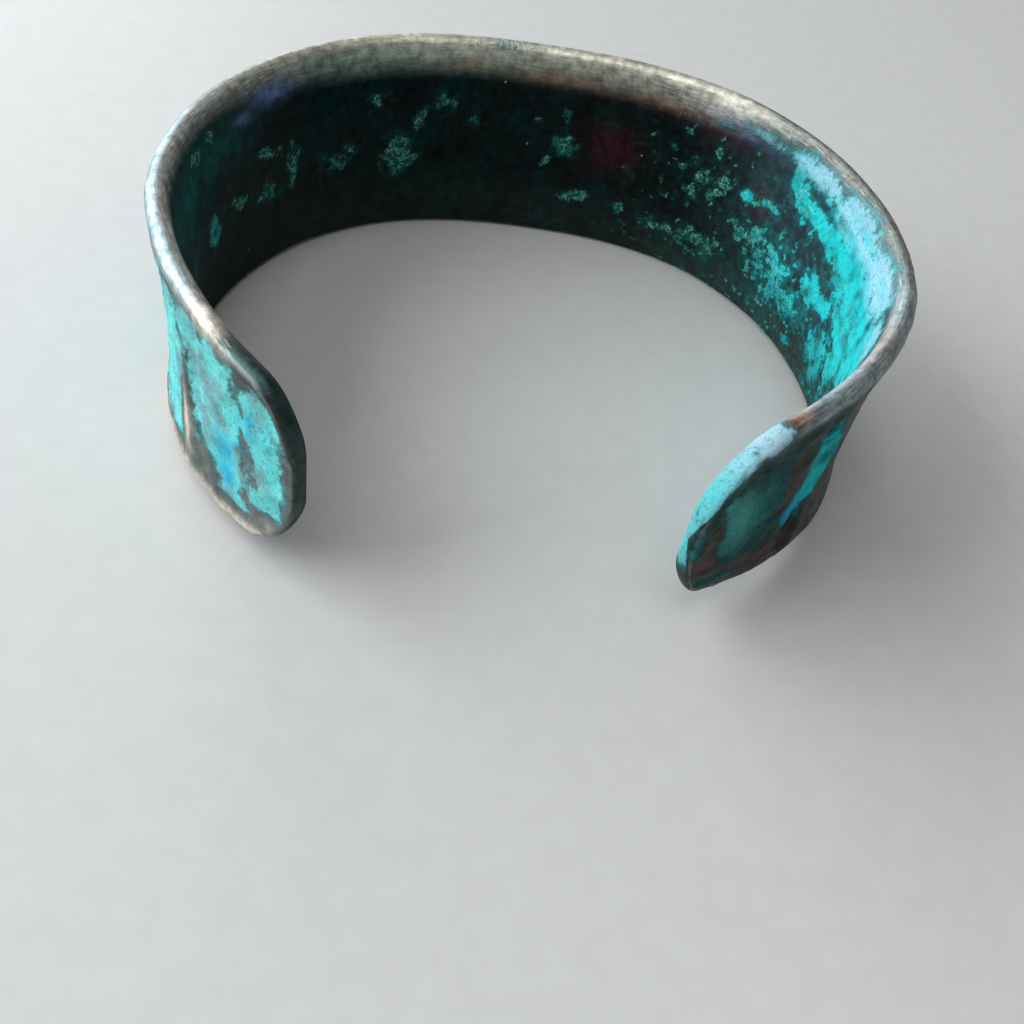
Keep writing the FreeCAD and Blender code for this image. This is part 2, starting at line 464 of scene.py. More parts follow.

# Painted sheen, laid on as a pale crust, just inside the upper rim, and over the upper edge of the right end
SHEEN = (
    ((18.0, 17.8), (3.0, 0.6), 0, 0.50),
    ((23.0, 18.6), (5.0, 1.0), 0, 0.68),
    ((30.0, 18.7), (6.0, 1.5), 0, 0.90),
    ((38.0, 18.3), (6.0, 2.1), 0, 1.05),
    ((46.0, 17.9), (6.0, 2.4), 0, 1.05),
    ((53.0, 17.0), (4.0, 2.4), 0, 0.90),
)
RIM_SHEEN = (
    ((-4.4, 20.2), (5.0, 0.8), 0, 0.50),
    ((70.2, 17.4), (1.8, 1.5), -20, 1.25),
    ((72.6, 15.6), (2.2, 1.9), -30, 1.25),
    ((74.4, 12.8), (1.5, 2.6), 0, 1.25),
    ((75.0, 8.8), (0.9, 3.2), 0, 1.15),
)

# Places where no crust has grown, or where it has been rubbed away
BARE_SPOTS = (
    ((-69.8, 11.6), (0.7, 1.1), 0, 0.8),
    ((-69.6, 14.6), (0.7, 1.6), -15, 0.7),
    ((-70.2, 17.4), (0.7, 0.7), 0, 0.8),
    ((-71.2, 8.4), (0.6, 0.6), 0, 0.7),
    ((-69.2, 8.6), (0.5, 0.7), 0, 0.5),
    ((-72.2, 4.4), (2.0, 1.4), 0, 1.5),
    ((-60.6, 6.6), (0.9, 3.6), 0, 1.4),
    ((-62.8, 3.8), (2.6, 1.2), 0, 1.2),
    ((73.2, 9.6), (0.5, 2.8), 15, 0.9),
    ((65.8, 11.9), (0.8, 3.2), 0, 1.3),
    ((73.2, 6.0), (1.3, 1.2), 0, 1.3),
    ((66.0, 3.8), (5.0, 1.0), 0, 1.0),
)

# Where the crust is blue rather than green
BLUE_CRUST_SPOTS = (
    ((-67.2, 8.8), (1.5, 1.6), 0, 0.90),
    ((-67.4, 6.2), (1.2, 1.4), 0, 0.90),
    ((-70.6, 14.0), (0.9, 1.2), 0, 0.80),
    ((-69.6, 10.4), (1.4, 1.2), 0, 0.50),
    ((64.2, 7.6), (1.6, 1.8), 0, 0.90),
    ((-22.0, 13.0), (3.0, 3.0), 0, 0.50),
)

# Where the painted sheen is nearly white
WHITE_SHEEN_SPOTS = (
    ((70.4, 17.2), (2.4, 1.8), -20, 1.00),
    ((40.0, 19.2), (9.0, 0.8), 0, 0.50),
)

# Small bright spots in the dark crust inside, and the paler middle of the right end's crust
BRIGHT_SPECKS = (
    ((22.9, 12.5), (1.2, 1.0), 0, 1.0),
    ((-40.5, 9.6), (2.0, 2.4), 0, 0.3),
)
SEA_CRUST_SPOTS = (
    ((71.2, 10.6), (1.9, 3.4), -10, 1.0),
    ((72.6, 12.6), (0.8, 0.7), 0, 1.5),
)

# Tints of the metal
LEFT_FILM_SPOTS = (
    ((-46.0, 16.4), (10.0, 1.8), 0, 0.9),
    ((-46.0, 11.0), (2.0, 4.0), 0, 0.7),
)
RED_SPOTS = (
    ((72.9, 6.1), (0.9, 0.6), 0, 1.00),
)
MAGENTA_SPOTS = (
    ((7.6, 11.6), (3.0, 2.6), 0, 0.60),
    ((24.9, 12.8), (1.6, 1.3), 0, 0.80),
    ((16.0, 17.2), (5.0, 0.8), 0, 0.45),
)
DARK_HOLES = (
    ((-30.6, 9.9), (0.6, 0.6), 0, 1.00),
    ((-36.7, 12.1), (0.5, 0.6), 0, 1.00),
)
VIOLET_SPOTS = (
    ((-29.4, 18.2), (2.4, 0.8), -4, 1.10),
    ((-33.4, 17.4), (1.4, 0.5), -10, 0.50),
    ((20.5, 18.2), (5.0, 0.7), -2, 0.45),
)
COPPER_SPOTS = (
    ((68.0, 18.5), (1.2, 1.2), 0, 0.80),
    ((2.0, 17.8), (5.0, 0.7), 0, 0.34),
    ((11.0, 17.7), (4.0, 0.6), 0, 0.36),
    ((-8.0, 18.4), (2.0, 0.5), 0, 0.40),
    ((56.0, 19.6), (4.0, 0.6), 0, 0.40),
)
GREY_SPOTS = (
    ((-71.0, 7.0), (6.0, 9.0), 0, 1.00),
    ((-62.0, 4.0), (4.0, 4.0), 0, 0.80),
)
CREAM_SPOTS = (
    ((-60.5, 6.2), (0.9, 3.2), 0, 1.10),
)
BROWN_SPOTS = (
    ((65.8, 11.9), (0.9, 3.4), 0, 1.00),
    ((66.0, 3.6), (6.0, 1.3), 0, 1.00),
    ((73.2, 9.0), (0.9, 3.0), 15, 0.80),
)


# ---------------------------------------------------------------- wear, hammer marks and corrosion

def streaks(skin, lengthwise, upright, seed):
    """Noise drawn out along the strip, as rubbing and running water leave it."""
    grain = np.stack([skin.along * lengthwise, skin.height * upright, skin.face * 3.0], -1)
    return noise_field(grain, size=1.3, octaves=4, seed=seed)


def upper_wear(skin):
    """1 on the crest of the upper rim, which handling keeps bright, falling to 0 down the faces."""
    back = fall(skin.along, 30, 14) * rise(skin.along, -40, 20)
    inner = smooth(1 - skin.below_top / (WEAR_REACH_INSIDE + WEAR_REACH_MORE_AT_BACK * back))
    outer = smooth(1 - skin.below_top / WEAR_REACH_OUTSIDE)
    return np.where(skin.face < 0, inner, outer) * rise(skin.from_tip, 5.0, 4.0)


def lower_wear(skin):
    """1 on the outer corner of the lower rim, where the cuff rubs on tables."""
    low = smooth(1.4 - skin.above_bottom / 1.5)
    return low * rise(skin.face, -0.1, 0.4) * rise(skin.from_tip, 1.5, 3.0)


def crease_bow(skin):
    """How much nearer to the tip the fold lies than it does halfway up: most at both rims."""
    return CREASE_BOW * ((skin.height - HALF_WIDTH) / HALF_WIDTH) ** 2


def crease_ridge(skin):
    """1 along the fold across the outside where each hammered end begins."""
    beside = (skin.from_tip - CREASE_FROM_TIP + crease_bow(skin)) / CREASE_WIDTH
    return np.exp(-(beside ** 2)) * rise(skin.from_edge, 0, 3.0) * skin.outside()


def crease_field(skin):
    """Raised fold where each hammered end begins, with a groove on its tip side."""
    beside = (skin.from_tip - GROOVE_FROM_TIP + crease_bow(skin)) / GROOVE_WIDTH
    groove = np.exp(-(beside ** 2)) * rise(skin.from_edge, 0, 3.0)
    return CREASE_HEIGHT * crease_ridge(skin) - GROOVE_DEPTH * groove * skin.outside()


def tip_edge(skin):
    """1 on the thickness of the metal round each tip."""
    rounded = fall(np.abs(skin.face), 0.90, 0.3)
    start = np.where(skin.along > 0, 6.0, 10.0)
    reach = smooth((start - skin.from_tip) / 3.0) * rise(skin.above_bottom, 0.2, 0.8)
    return np.maximum(rounded * reach, fall(skin.from_tip, 0.7, 0.5))


def tip_bevel(skin):
    """1 along the corner between the outer face and the edge of each tip, where a highlight is painted."""
    return np.exp(-(((skin.facing() - 0.84) / 0.10) ** 2)) * fall(skin.from_tip, 9.0, 3.0)


def ridge_wear(skin, dents):
    """1 on the ridges between hammer blows outside, where the crust is rubbed off."""
    away_from_tips = rise(skin.from_tip, 12, 4)
    return rise(dents, -0.24, 0.22) * skin.outside() * (0.12 + 0.88 * away_from_tips)


def sheen_field(skin):
    """How strongly the painted sheen, laid on as a pale crust, covers each place."""
    inner = spots(skin, SHEEN) * smooth(-skin.face / 0.5)
    return np.maximum(inner, spots(skin, RIM_SHEEN) * fall(skin.face, 1.26, 0.6))


def dust_field(skin):
    """How far a dull film hides the shine: low inside, on both walls, and on the left end's worn edges."""
    low = fall(skin.above_bottom, 9.0, 7.0)
    right = rise(skin.along, 10, 20)
    left = rise(-skin.along, 22, 14)
    inner = np.maximum.reduce([0.75 * low, 0.80 * right, 0.90 * left]) * skin.inside()
    left_edges = np.maximum(lower_wear(skin) * rise(-skin.along, 36, 10), spots(skin, CREAM_SPOTS))
    return np.maximum(inner, 0.65 * left_edges)


def grown_verdigris(skin, ridges):
    """How thickly verdigris has grown: in the spots that the photo shows, and scattered over the back."""
    grown = spots(skin, INNER_VERDIGRIS) * skin.inside() + spots(skin, OUTER_VERDIGRIS) * skin.outside()
    scattered = 0.42 + 0.62 * noise_field(skin.places, size=11.0, octaves=4, seed=131.0) - 0.22 * ridges
    return np.maximum(grown, scattered * skin.outside() * fall(np.abs(skin.along), 56, 8))


def thin_verdigris(skin):
    """Verdigris that lies thinly everywhere, and more of it outside, low down and on the right wall."""
    rest = 0.12 + 0.12 * skin.outside() + 0.10 * fall(skin.height, 6.0, 5.0)
    return rest + 0.12 * rise(skin.along, 8, 14) * skin.inside()


def rubbed_verdigris(skin, wear):
    """How much verdigris is rubbed away: in bare spots, beside the rims outside, and on worn metal."""
    border = fall(skin.from_edge, 1.2, 0.7) * skin.outside()
    return 0.55 * spots(skin, BARE_SPOTS) * skin.outside() + 0.40 * border + 0.45 * wear


def verdigris_field(skin, wear, sheen, ridges):
    """How strongly verdigris covers each place: over 0.5 is crust, and below it is bare metal."""
    grown = grown_verdigris(skin, ridges)
    broad = noise_field(skin.places, size=5.0, octaves=3, seed=11.0)
    fine = noise_field(skin.places, size=1.3, octaves=3, seed=23.0)
    lace = 1 - np.abs(noise_field(skin.places, size=1.6, octaves=3, seed=37.0)) * 2.2
    lacy = np.where(skin.outside() > 0.5, 0.14, 0.34)
    field = np.minimum(grown, 1.05) * (1 - lacy + lacy * lace) + thin_verdigris(skin) + 0.10 * broad
    field = field + 0.24 * fine * (0.5 + np.minimum(grown, 1.0))
    flecks = rise(noise_field(skin.places, size=0.9, octaves=2, seed=211.0), 0.34, 0.16)
    field = field + 0.34 * flecks * skin.inside() * rise(skin.along, 2, 10)
    field = field - rubbed_verdigris(skin, wear) - 0.40 * tip_edge(skin)
    # The painted sheen is laid on as crust
    return np.clip(np.maximum(field, sheen * (0.92 + 0.18 * fine)), 0, 1.1)


def softness_field(skin, sheen):
    """0 where the crust is crisp and 1 where it thins out as a film."""
    ends = fall(skin.from_tip, 24, 4)
    lit_wall = 0.6 * rise(skin.along, 30, 6) * skin.inside()
    # The painted sheen makes a soft crust
    return np.clip(ends * skin.outside() * 0.80 + lit_wall + smooth(sheen * 2), 0, 1)


def hammer_marks(skin, dents):
    """Height of the hammer's hollows: deepest outside at the tips, faint inside and at the edges."""
    near_tip = fall(skin.from_tip, 14.0, 3.0)
    outer_dent = OUTER_DENT + (TIP_DENT - OUTER_DENT) * near_tip
    depth = np.where(skin.face > 0, outer_dent, INNER_DENT) * smooth(np.abs(skin.face) / 0.8)
    depth = depth * (0.25 + 0.75 * rise(skin.from_edge, 0, 2.6))
    return depth * (dents + SMALL_DENT_DEPTH * dent_field(skin, DENT_SIZE * SMALL_DENT_SIZE, seed=9.0))


def relief(skin, verdigris, dents):
    """How far the skin stands out from the smooth CAD shape, in millimetres."""
    on_faces = skin.inside() + skin.outside()
    waves = WAVE_HEIGHT * (noise_field(skin.places, size=9.0, octaves=1, seed=51.0) - 0.5)
    lumps = 0.7 + 0.5 * noise_field(skin.places, size=0.9, octaves=2, seed=83.0)
    crust = CRUST_HEIGHT * rise(verdigris, 0.40, 0.30) * lumps * on_faces
    pitted = rise(noise_field(skin.places, size=0.9, octaves=1, seed=71.0), 0.60, 0.2)
    pits = -PIT_DEPTH * pitted * on_faces
    holes = -HOLE_DEPTH * spots(skin, DARK_HOLES) * skin.inside()
    raised = hammer_marks(skin, dents) + waves + crust + pits + holes + crease_field(skin)
    return raised * smooth(skin.from_tip / 1.6)


# ---------------------------------------------------------------- colours of the crust and of the metal

def blend_colour(colour, other, share):
    """Colours moved towards another colour by a share that varies from place to place."""
    share = np.clip(share, 0, 1)[..., None]
    return colour * (1 - share) + np.array(other) * share


def end_crust_colours(skin, colour, mottle, blots):
    """Colours with those of the two ends added: minty and grey on the left, dark sea green on the right."""
    left_end = rise(-skin.along, 48, 6) * skin.outside()
    colour = blend_colour(colour, MINT_CRUST, left_end * (0.85 + 0.5 * mottle))
    right_end = rise(skin.along, 64.5, 1.0) * skin.outside()
    colour = blend_colour(colour, TEAL_CRUST, right_end)
    colour = blend_colour(colour, SEA_CRUST, right_end * spots(skin, SEA_CRUST_SPOTS))
    colour = blend_colour(colour, BLUE_CRUST, skin.outside() * spots(skin, BLUE_CRUST_SPOTS))
    broad_blots = noise_field(skin.places, size=3.6, octaves=3, seed=141.0)
    return blend_colour(colour, GREY_CRUST, left_end * (0.22 + 1.1 * blots + 1.3 * broad_blots))


def sheen_colours(skin, colour, sheen, mottle):
    """Colours with the streaky painted sheen added: pale on the right, greener at the back and at the very
    tip.
    """
    greener = fall(np.abs(skin.along), 20, 5) + rise(skin.along, 71.5, 2.5)
    sheen_share = smooth(sheen * 1.6 - 0.35) * (0.72 + 0.8 * streaks(skin, 0.30, 1.5, seed=151.0))
    colour = blend_colour(colour, PALE_SHEEN, sheen_share)
    colour = blend_colour(colour, TEAL_SHEEN, sheen_share * np.clip(greener, 0, 1) * 0.9)
    white_share = spots(skin, WHITE_SHEEN_SPOTS) * smooth(sheen * 2) * (0.9 + 0.6 * mottle)
    return blend_colour(colour, WHITE_SHEEN, white_share)


def crust_colours(skin, sheen):
    """Colour of the crust: painted dark green as shaded inside, painted turquoise as lit outside and on the
    right wall, darker towards the bottom inside, and pale under the painted sheen near the rims.
    """
    mottle = noise_field(skin.places, size=2.4, octaves=3, seed=97.0)
    blots = noise_field(skin.places, size=1.6, octaves=4, seed=105.0)
    colour = np.zeros(skin.places.shape) + np.array(SHADED_GREEN_CRUST)
    # Painted light: the outside and the right wall get the lit crust colour, the rest inside gets the shaded
    # one
    lit = np.maximum(rise(skin.along, 21, 12), skin.outside())
    colour = blend_colour(colour, LIT_CYAN_CRUST, np.maximum(lit, spots(skin, BRIGHT_SPECKS)))
    colour = blend_colour(colour, TEAL_CRUST, lit * (0.20 + 0.9 * blots))
    colour = blend_colour(colour, TEAL_CRUST, 0.55 * skin.inside() * fall(skin.height, 9.5, 7))
    colour = end_crust_colours(skin, colour, mottle, blots)
    return sheen_colours(skin, colour, sheen, mottle)


def film_colours(skin, mottle):
    """Colours of the unworn metal: a blue-green film, olive low inside as a painted reflection of the floor,
    and slate on the right wall as a painted reflection of the light from the left.
    """
    inside = skin.inside()
    colour = np.zeros(skin.places.shape) + np.array(BLACK_PATINA)
    left_film = rise(-skin.along, 34, 8) * rise(skin.height, 9, 8) * inside
    colour = blend_colour(colour, TEAL_FILM, 0.30 + 0.5 * mottle + 0.6 * skin.outside() + 0.6 * left_film)
    # Painted reflection of the floor low inside, mostly on the right
    low_reflection = fall(skin.above_bottom, 7.0, 6.5) * (0.10 + 0.90 * rise(skin.along, 4, 26))
    colour = blend_colour(colour, OLIVE_FLOOR_REFLECTION, inside * low_reflection * (0.9 + 0.5 * mottle))
    # Painted reflection: the right wall made lighter slate where the light from the left falls
    right_wall = rise(skin.along, 14, 22) * rise(skin.height, 2, 8)
    colour = blend_colour(colour, SLATE_REFLECTION, inside * right_wall * (0.80 + 0.6 * mottle))
    left_wall = rise(-skin.along, 24, 14) * fall(skin.height, 10, 8)
    colour = blend_colour(colour, GREEN_FILM, inside * left_wall)
    colour = blend_colour(colour, TEAL_CRUST, inside * spots(skin, LEFT_FILM_SPOTS) * (0.9 + 0.6 * mottle))
    return blend_colour(colour, MAGENTA_TINT, inside * spots(skin, MAGENTA_SPOTS) * (0.9 + 0.5 * mottle))


def outside_colours(skin, colour, ridges, mottle):
    """Colours with those of the outer face added: worn hammer ridges, and the bare spots of the two ends."""
    outside = skin.outside()
    colour = blend_colour(colour, TEAL_FILM, rise(skin.along, 60, 3) * outside)
    colour = blend_colour(colour, WORN_RIDGE, ridges * (0.55 + 0.5 * mottle))
    colour = blend_colour(colour, GREY_METAL, outside * spots(skin, GREY_SPOTS) * rise(-skin.along, 58, 3))
    for tint, table in ((BROWN_FILM, BROWN_SPOTS), (RED_METAL, RED_SPOTS), (CREAM_METAL, CREAM_SPOTS)):
        colour = blend_colour(colour, tint, outside * spots(skin, table))
    return colour


def worn_colours(skin, colour):
    """Colours with the bright metal of both rims added: sage at the back, duller or tinted to the ends, with
    painted reflections of the lights on the left rim, the right rim and the left end's lower rim.
    """
    rubbing = streaks(skin, 0.45, 1.8, seed=61.0)
    wear = upper_wear(skin)
    # The sage of the back crest is worn metal, brightened as a painted highlight
    rim_metal = np.zeros(skin.places.shape) + np.array(SAGE_METAL)
    rim_metal = blend_colour(rim_metal, DULL_METAL, rise(skin.along, 16, 10))
    rim_metal = blend_colour(rim_metal, DULL_METAL, rise(-skin.along, 14, 22))
    colour = blend_colour(colour, rim_metal, wear * (0.92 + 0.34 * rubbing))
    # Painted reflection of the light from the left on the outer half of the left rim
    left_rim_reflection = rise(-skin.along, 34, 10) * wear
    colour = blend_colour(colour, LAVENDER_REFLECTION, left_rim_reflection * rise(skin.face, -0.5, 0.5))
    left_corner = rise(-skin.along, 61, 4) * wear * rise(skin.face, -0.6, 0.5)
    colour = blend_colour(colour, CREAM_METAL, left_corner)
    # Painted sheen of the light on the right rim
    right_sheen = rise(skin.along, 44, 6) * fall(skin.along, 71, 4) * wear
    colour = blend_colour(colour, LAVENDER_REFLECTION, right_sheen * 0.7)
    # Worn cream metal along the lower rim of the left end, made brighter as a painted reflection of the
    # floor
    colour = blend_colour(colour, CREAM_METAL, lower_wear(skin) * rise(-skin.along, 40, 12))
    violet = skin.inside() * spots(skin, VIOLET_SPOTS) * (0.8 + 0.5 * rubbing)
    return blend_colour(colour, VIOLET_TINT, violet)


def metal_colours(skin, ridges):
    """Colour of the metal under the verdigris."""
    mottle = noise_field(skin.places, size=3.2, octaves=4, seed=5.0)
    colour = film_colours(skin, mottle)
    colour = outside_colours(skin, colour, ridges, mottle)
    colour = worn_colours(skin, colour)
    colour = blend_colour(colour, RED_METAL, skin.inside() * spots(skin, DARK_HOLES) * 0.4)
    colour = blend_colour(colour, EDGE_METAL, tip_edge(skin))
    # Painted highlight along the corner of each tip
    colour = blend_colour(colour, BEVEL_HIGHLIGHT, 0.8 * tip_bevel(skin))
    bare_copper = (1 - skin.outside()) * spots(skin, COPPER_SPOTS) * (0.9 + 0.6 * mottle)
    return blend_colour(colour, COPPER_METAL, bare_copper)


# ---------------------------------------------------------------- the cuff's mesh

def fit_box(places, low, high):
    """Scale the hammered skin so that it fills the CAD box exactly, and stays inside it."""
    flat = places.reshape(-1, 3)
    lowest = flat.min(axis=0)
    scale = (np.array(high) - np.array(low)) / (flat.max(axis=0) - lowest)
    return np.array(low) + (places - lowest) * scale


def set_values(mesh, name, values):
    """Store one number per vertex under a name that the material reads."""
    layer = mesh.attributes.new(name, "FLOAT", "POINT")
    layer.data.foreach_set("value", values.astype(np.float32).ravel())


def set_colours(mesh, name, colours):
    """Store one linear colour per vertex under a name that the material reads."""
    layer = mesh.attributes.new(name, "FLOAT_COLOR", "POINT")
    opaque = np.concatenate([colours, np.ones(colours.shape[:-1] + (1,))], -1)
    layer.data.foreach_set("color", opaque.astype(np.float32).ravel())


def skin_faces(rows, columns):
    """Quads between neighbouring rows and columns, joined up round the metal, and one flat face per tip."""
    faces = []
    for row in range(rows - 1):
        for column in range(columns):
            here = row * columns + column
            beside = row * columns + (column + 1) % columns
            faces.append((here, here + columns, beside + columns, beside))
    faces.append(tuple(range(columns)))
    faces.append(tuple((rows - 1) * columns + column for column in range(columns))[::-1])
    return faces


def make_cuff():
    """The bracelet: one continuous skin with its hammer marks, rims, crust and colours."""
    skin = Skin()
    wear = np.maximum(upper_wear(skin), lower_wear(skin))
    # Painted sheen, laid on as a pale crust
    sheen = sheen_field(skin)
    dents = dent_field(skin, DENT_SIZE, seed=3.0)
    ridges = ridge_wear(skin, dents)
    verdigris = verdigris_field(skin, wear, sheen, ridges)
    shaped = skin.places * MM + skin.normals() * relief(skin, verdigris, dents)[..., None] * MM
    shaped = fit_box(shaped, CAD_LOW, CAD_HIGH)
    rows, columns = skin.along.shape
    mesh = bpy.data.meshes.new("copper_cuff")
    mesh.from_pydata(shaped.reshape(-1, 3).tolist(), [], skin_faces(rows, columns))
    mesh.polygons.foreach_set("use_smooth", [True] * len(mesh.polygons))
    set_values(mesh, "verdigris", verdigris)
    set_values(mesh, "softness", softness_field(skin, sheen))
    set_values(mesh, "dust", dust_field(skin))
    set_colours(mesh, "crust_colour", crust_colours(skin, sheen))
    set_values(mesh, "wear", wear)
    set_values(mesh, "along", skin.along)
    set_values(mesh, "across", skin.height + skin.face * 2.0)
    set_colours(mesh, "metal_colour", metal_colours(skin, ridges))
    mesh.update()
    cuff = bpy.data.objects.new("copper_cuff", mesh)
    bpy.context.collection.objects.link(cuff)
    return cuff


# ---------------------------------------------------------------- materials

class Nodes:
    """Short way to add and join the nodes of one material."""

    def __init__(self, name):
        self.material = bpy.data.materials.new(name)
        self.material.use_nodes = True
        self.tree = self.material.node_tree
        self.surface = self.tree.nodes["Principled BSDF"]

    def add(self, kind, output, inputs, **settings):
        """Add a node with these settings and inputs, and return one of its outputs."""
        node = self.tree.nodes.new(kind)
        for key, value in settings.items():
            setattr(node, key, value)
        for key, value in inputs.items():
            self.give(node.inputs[key], value)
        return node.outputs[output]

    def give(self, socket, value):
        """Join an output to a socket, or set the socket's own value."""
        if isinstance(value, bpy.types.NodeSocket):
            self.tree.links.new(value, socket)
        else:
            socket.default_value = value

    def attribute(self, name, output="Fac"):
        """A value stored on the mesh."""
        return self.add("ShaderNodeAttribute", output, {}, attribute_name=name)

    def noise(self, place, scale, detail=4.0, roughness=0.55):
        """Noise from 0 to 1."""
        inputs = {"Vector": place, "Scale": scale, "Detail": detail, "Roughness": roughness}
        return self.add("ShaderNodeTexNoise", "Fac", inputs)

    def math(self, operation, first, second):
        """One sum."""
        return self.add("ShaderNodeMath", 0, {0: first, 1: second}, operation=operation)

    def ramp(self, value, low, high, start=0.0, stop=1.0):
        """Smooth step of a value from start at low to stop at high."""
        inputs = {"Value": value, "From Min": low, "From Max": high, "To Min": start, "To Max": stop}
        return self.add("ShaderNodeMapRange", "Result", inputs, interpolation_type="SMOOTHSTEP")

    def mix(self, share, first, second, kind="MIX"):
        """Two colours mixed by a share."""
        inputs = {0: share, 6: first, 7: second}
        return self.add("ShaderNodeMix", 2, inputs, data_type="RGBA", blend_type=kind)

    def mix_value(self, share, first, second):
        """Two numbers mixed by a share."""
        return self.add("ShaderNodeMix", 0, {0: share, 2: first, 3: second}, data_type="FLOAT")


def scratch_noise(nodes):
    """Fine scratches that run along the strip."""
    along = nodes.math("MULTIPLY", nodes.attribute("along"), SCRATCHES_ALONG)
    across = nodes.math("MULTIPLY", nodes.attribute("across"), SCRATCHES_ACROSS)
    place = nodes.add("ShaderNodeCombineXYZ", 0, {0: along, 1: across})
    return nodes.noise(place, 1.0, detail=7.0, roughness=0.72)


def filament_cover(nodes, place):
    """Share of crust filaments: thin wandering lines where the verdigris is thick and crisp."""
    wandering = nodes.noise(place, FILAMENT_SCALE, detail=3.0, roughness=0.6)
    ridge = nodes.math("ABSOLUTE", nodes.math("SUBTRACT", wandering, 0.5), 0.0)
    thick = nodes.ramp(nodes.attribute("verdigris"), 0.34, 0.60)
    crisp = nodes.math("SUBTRACT", 1.0, nodes.attribute("softness"))
    return nodes.math("MULTIPLY", nodes.math("MULTIPLY", nodes.ramp(ridge, 0.030, 0.005), thick), crisp)


def crust_edge(nodes, grain, clumps):
    """Strength of the verdigris, broken up by grain and clumps, which crosses the crust's threshold."""
    breakup = nodes.math("ADD", nodes.math("MULTIPLY", grain, 0.55), nodes.math("MULTIPLY", clumps, 0.75))
    return nodes.math("ADD", nodes.attribute("verdigris"), nodes.math("SUBTRACT", breakup, 0.65))


def crust_cover(nodes, edge, filaments):
    """Share of crust at each place, with a crisp or a soft border."""
    softness = nodes.attribute("softness")
    low = nodes.mix_value(softness, 0.47, 0.30)
    high = nodes.mix_value(softness, 0.55, 0.72)
    return nodes.math("MAXIMUM", nodes.ramp(edge, low, high), nodes.math("MULTIPLY", filaments, 0.6))


def crust_colour(nodes, edge, grain, filaments):
    """Colour of the crust, darker in its hollows and along its edges, with paler filaments on top."""
    own = nodes.attribute("crust_colour", "Color")
    thin = nodes.mix(nodes.ramp(edge, 0.46, 0.60, start=0.55, stop=0.0), own, CRUST_HOLLOW)
    hollow = nodes.mix(nodes.ramp(grain, 0.50, 0.30, start=0.0, stop=0.60), thin, CRUST_HOLLOW)
    return nodes.mix(nodes.math("MULTIPLY", filaments, 0.60), hollow, FILAMENT)


def metal_colour(nodes, clumps, scratches, stain):
    """Colour of the metal: clouded, scratched bright and dark where it is worn, the bright scratches
    brightened further as a painted highlight, stained near crust.
    """
    wear = nodes.attribute("wear")
    shade = nodes.ramp(clumps, 0.3, 0.7, start=0.65, stop=1.35)
    grey = nodes.add("ShaderNodeCombineColor", 0, {0: shade, 1: shade, 2: shade})
    metal = nodes.mix(1.0, nodes.attribute("metal_colour", "Color"), grey, "MULTIPLY")
    polish_and_highlight = nodes.math("MULTIPLY", wear, nodes.ramp(scratches, 0.50, 0.66, start=0.0, stop=0.60))
    metal = nodes.mix(polish_and_highlight, metal, POLISH_AND_HIGHLIGHT)
    dirt = nodes.math("MULTIPLY", wear, nodes.ramp(scratches, 0.48, 0.34, start=0.0, stop=0.40))
    metal = nodes.mix(dirt, metal, SCRATCH_DIRT)
    film = nodes.mix(0.5, nodes.attribute("crust_colour", "Color"), STAIN_SHADE)
    return nodes.mix(stain, metal, film)


def dust_specks(nodes, place):
    """Share of bright dust: single small grains here and there, but none where the metal is worn."""
    cells = {"Vector": place, "Scale": SPECK_SCALE}
    speck = nodes.ramp(nodes.add("ShaderNodeTexVoronoi", "Distance", cells), 0.085, 0.055)
    chance = nodes.ramp(nodes.noise(place, SPECK_GROUP_SCALE, detail=2.0, roughness=0.5), 0.60, 0.64)
    unworn = nodes.ramp(nodes.attribute("wear"), 0.5, 0.1)
    return nodes.math("MULTIPLY", nodes.math("MULTIPLY", speck, chance), unworn)


def surface_roughness(nodes, clumps, scratches, crust):
    """Roughness: satin metal, scratched where it is worn, and matt under crust and dust."""
    unworn = nodes.ramp(clumps, 0.3, 0.7, start=0.36, stop=0.52)
    worn = nodes.ramp(scratches, 0.35, 0.65, start=0.42, stop=0.56)
    metal = nodes.mix_value(nodes.attribute("wear"), unworn, worn)
    return nodes.mix_value(nodes.math("MAXIMUM", crust, nodes.attribute("dust")), metal, MATT)


def surface_bump(nodes, grain, scratches, crust):
    """Fine bumps: grains on the crust, scratches on worn metal, and the crust's own thickness."""
    fine = nodes.math("MULTIPLY", grain, nodes.mix_value(crust, 0.25, 1.3))
    lines = nodes.math("MULTIPLY", scratches, nodes.math("MULTIPLY", nodes.attribute("wear"), 0.5))
    lumps = nodes.math("MULTIPLY", crust, 0.8)
    height = nodes.math("ADD", nodes.math("ADD", fine, lines), lumps)
    inputs = {"Height": height, "Distance": BUMP_HEIGHT * MM, "Strength": 0.8}
    return nodes.add("ShaderNodeBump", "Normal", inputs)


